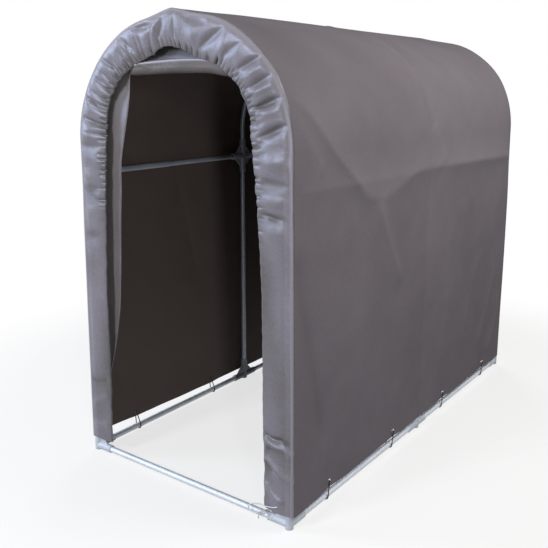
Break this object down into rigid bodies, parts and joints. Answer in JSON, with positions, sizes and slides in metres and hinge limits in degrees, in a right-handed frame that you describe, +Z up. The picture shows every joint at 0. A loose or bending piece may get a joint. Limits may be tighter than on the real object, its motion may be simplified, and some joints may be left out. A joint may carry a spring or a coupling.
{
  "type": "fabric bike shelter",
  "caption": "Tunnel-shaped bike shelter: bent tube hoops on a tube base frame, dressed with a sewn fabric cover with a gathered front band and a rolled-up door curtain.",
  "frame": {"origin": "on the ground at the middle of the base frame", "axes": "+Z up, +Y from the doorway to the rear wall, +X to the right when facing along +Y"},
  "size_m": [0.9518, 1.8657, 1.6301],
  "materials": {
    "tube": "galvanised, satin",
    "fitting": "pale grey, satin",
    "cover_fabric": "coated weave, slight sheen",
    "door_fabric": "coated weave",
    "door_lining": "pale woven backing",
    "eyelet": "nickel plated",
    "elastic": "braided elastic",
    "tie_cord": "white braid"
  },
  "bodies": {
    "root": {"front_base_tube": "tube", "rear_base_tube": "tube", "left_front_base_tube": "tube", "left_rear_base_tube": "tube", "right_front_base_tube": "tube", "right_rear_base_tube": "tube", "front_left_corner_fitting": "fitting", "front_right_corner_fitting": "fitting", "rear_left_corner_fitting": "fitting", "rear_right_corner_fitting": "fitting", "left_base_tee": "fitting", "right_base_tee": "fitting", "front_left_leg": "tube", "front_right_leg": "tube", "middle_left_leg": "tube", "middle_right_leg": "tube", "rear_left_leg": "tube", "rear_right_leg": "tube", "front_left_arch": "tube", "front_right_arch": "tube", "middle_left_arch": "tube", "middle_right_arch": "tube", "rear_left_arch": "tube", "rear_right_arch": "tube", "left_rail_fittings": "fitting", "right_rail_fittings": "fitting", "ridge_fittings": "fitting", "left_front_rail": "tube", "left_rear_rail": "tube", "right_front_rail": "tube", "right_rear_rail": "tube", "front_ridge_tube": "tube", "rear_ridge_tube": "tube", "front_roof_cover": "cover_fabric", "rear_roof_cover": "cover_fabric", "left_wall_cover": "cover_fabric", "right_wall_cover": "cover_fabric", "rear_wall_cover": "cover_fabric", "front_band_left": "cover_fabric", "front_band_right": "cover_fabric", "front_band_arch": "cover_fabric", "door_header": "door_fabric", "door_roll": "door_lining", "left_door_flap": "door_fabric", "right_door_flap": "door_fabric", "hem_eyelets": "eyelet", "hem_ties": "elastic", "right_front_tie": "tie_cord"}
  },
  "joints": []
}
